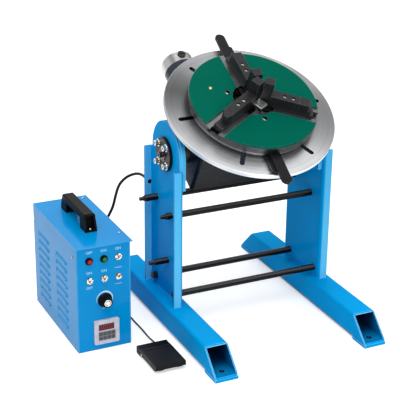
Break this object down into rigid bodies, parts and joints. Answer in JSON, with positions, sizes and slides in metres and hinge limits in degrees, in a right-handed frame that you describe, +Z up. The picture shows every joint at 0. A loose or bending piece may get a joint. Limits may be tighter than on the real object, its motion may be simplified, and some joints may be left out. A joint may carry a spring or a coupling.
{
  "type": "welding positioner",
  "caption": "Bench welding positioner: tilting motor-driven turntable with a self-centring scroll chuck between two uprights, with control box and foot switch.",
  "frame": {"origin": "on the floor, at the centre of the four anchor holes in the feet", "axes": "+X along the tie rods away from the control box, +Y to the back, where the motor is, +Z up"},
  "size_m": [0.6634, 0.624, 0.6363],
  "materials": {
    "blue_paint": "gloss powder coat",
    "black_paint": "satin black",
    "bronze": "bearing bronze",
    "bolt_steel": "bright zinc",
    "black_bolt": "blackened",
    "black_plastic": "matte",
    "cable_rubber": "matte",
    "plated_steel": "bright",
    "grey_plastic": "smooth",
    "board_green": "board",
    "dark_steel": "oiled",
    "cast_grey": "cast",
    "motor_blue_black": "satin",
    "cast_silver": "cast",
    "table_steel": "turned",
    "green_face": "satin",
    "brass": "turned",
    "jaw_steel": "ground",
    "jaw_black": "blackened",
    "red_plastic": "gloss",
    "green_plastic": "gloss"
  },
  "bodies": {
    "frame": {"left_foot": "blue_paint", "right_foot": "blue_paint", "left_upright": "blue_paint", "right_upright": "blue_paint", "pivot_plates": "blue_paint", "bearing_flanges": "black_paint", "pivot_bushes": "bronze", "flange_bolts": "bolt_steel", "tie_rods": "black_paint", "tie_rod_bolts": "black_bolt", "hanging_peg": "black_paint", "cable_gland": "black_plastic", "main_cable": "cable_rubber", "control_chassis": "blue_paint", "control_cover": "blue_paint", "control_handle": "black_plastic", "panel_bushes": "plated_steel", "button_collars": "black_plastic", "timer_case": "grey_plastic", "power_supply": "board_green", "rear_sockets": "black_plastic", "pedal_base": "black_plastic", "pedal_pin": "plated_steel", "pedal_switch": "black_plastic", "pedal_cable": "cable_rubber"},
    "cradle": {"tilt_housing": "black_paint", "housing_cover": "black_paint", "trunnions": "dark_steel", "trunnion_screws": "bolt_steel", "bearing_housing": "dark_steel", "spindle_bearings": "plated_steel", "gearhead": "cast_grey", "motor_body": "motor_blue_black", "motor_end_bell": "cast_silver"},
    "turntable": {"rotary_table": "table_steel", "spindle": "dark_steel", "spindle_gear": "dark_steel", "spindle_nut": "dark_steel", "chuck_base": "black_paint", "chuck_body": "dark_steel", "chuck_face_plate": "green_face", "table_bolts": "black_bolt", "locating_pin": "brass"},
    "pinion": {"drive_pinion": "dark_steel"},
    "scroll": {"scroll_ring": "dark_steel", "chuck_levers": "black_paint"},
    "jaw_1": {"master_jaw_1": "jaw_steel", "top_jaw_1": "jaw_black"},
    "jaw_2": {"master_jaw_2": "jaw_steel", "top_jaw_2": "jaw_black"},
    "jaw_3": {"master_jaw_3": "jaw_steel", "top_jaw_3": "jaw_black"},
    "red_button": {"red_button": "red_plastic"},
    "green_button": {"green_button": "green_plastic"},
    "power_toggle": {"power_toggle": "plated_steel"},
    "mode_toggle": {"mode_toggle": "plated_steel"},
    "reverse_toggle": {"reverse_toggle": "plated_steel"},
    "output_toggle": {"output_toggle": "plated_steel"},
    "speed_knob": {"speed_knob": "black_plastic"},
    "pedal_tread": {"pedal_tread": "black_plastic"}
  },
  "joints": [
    {"name": "tilt", "type": "hinge", "parent": "frame", "child": "cradle", "pos_m": [0, 0.0255, 0.413], "axis": [1, 0, 0], "range_deg": [-28.5, 61.5]},
    {"name": "table_spin", "type": "hinge", "parent": "cradle", "child": "turntable", "pos_m": [0, -0.02699, 0.50967], "axis": [0, -0.4772, 0.8788], "continuous": true},
    {"name": "pinion_spin", "type": "hinge", "parent": "cradle", "child": "pinion", "pos_m": [-0.054, 0.03504, 0.39542], "axis": [0, -0.4772, 0.8788], "continuous": true},
    {"name": "scroll_turn", "type": "hinge", "parent": "turntable", "child": "scroll", "pos_m": [0, -0.02699, 0.50967], "axis": [0, -0.4772, 0.8788], "range_deg": [0, 1260]},
    {"name": "jaw_1_slide", "type": "slide", "parent": "turntable", "child": "jaw_1", "axis": [-0.866, -0.4394, -0.2386], "range_m": [0, 0.042]},
    {"name": "jaw_2_slide", "type": "slide", "parent": "turntable", "child": "jaw_2", "axis": [0.866, -0.4394, -0.2386], "range_m": [0, 0.042]},
    {"name": "jaw_3_slide", "type": "slide", "parent": "turntable", "child": "jaw_3", "axis": [0, 0.8788, 0.4772], "range_m": [0, 0.042]},
    {"name": "red_button_press", "type": "slide", "parent": "frame", "child": "red_button", "axis": [0, 1, 0], "range_m": [0, 0.003], "stiffness_N_per_m": 400},
    {"name": "green_button_press", "type": "slide", "parent": "frame", "child": "green_button", "axis": [0, 1, 0], "range_m": [0, 0.003], "stiffness_N_per_m": 400},
    {"name": "power_toggle_throw", "type": "hinge", "parent": "frame", "child": "power_toggle", "pos_m": [-0.3424, -0.0686, 0.224], "axis": [1, 0, 0], "range_deg": [0, 28]},
    {"name": "mode_toggle_throw", "type": "hinge", "parent": "frame", "child": "mode_toggle", "pos_m": [-0.4114, -0.0686, 0.176], "axis": [1, 0, 0], "range_deg": [0, 28]},
    {"name": "reverse_toggle_throw", "type": "hinge", "parent": "frame", "child": "reverse_toggle", "pos_m": [-0.3764, -0.0686, 0.176], "axis": [1, 0, 0], "range_deg": [0, 28]},
    {"name": "output_toggle_throw", "type": "hinge", "parent": "frame", "child": "output_toggle", "pos_m": [-0.3424, -0.0686, 0.176], "axis": [1, 0, 0], "range_deg": [0, 28]},
    {"name": "speed_knob_turn", "type": "hinge", "parent": "frame", "child": "speed_knob", "pos_m": [-0.3764, -0.0726, 0.123], "axis": [0, 1, 0], "range_deg": [0, 300]},
    {"name": "pedal_press", "type": "hinge", "parent": "frame", "child": "pedal_tread", "pos_m": [-0.2845, -0.1445, 0.009], "axis": [1, 0, 0], "range_deg": [0, 3.5], "stiffness_Nm_per_rad": 15, "springref_deg": -1.15}
  ],
  "couplings": [
    {"joint": "pinion_spin", "follows": "table_spin", "ratio": -2},
    {"joint": "jaw_1_slide", "follows": "scroll_turn", "m_per_rad": 0.0019099},
    {"joint": "jaw_2_slide", "follows": "scroll_turn", "m_per_rad": 0.0019099},
    {"joint": "jaw_3_slide", "follows": "scroll_turn", "m_per_rad": 0.0019099}
  ]
}
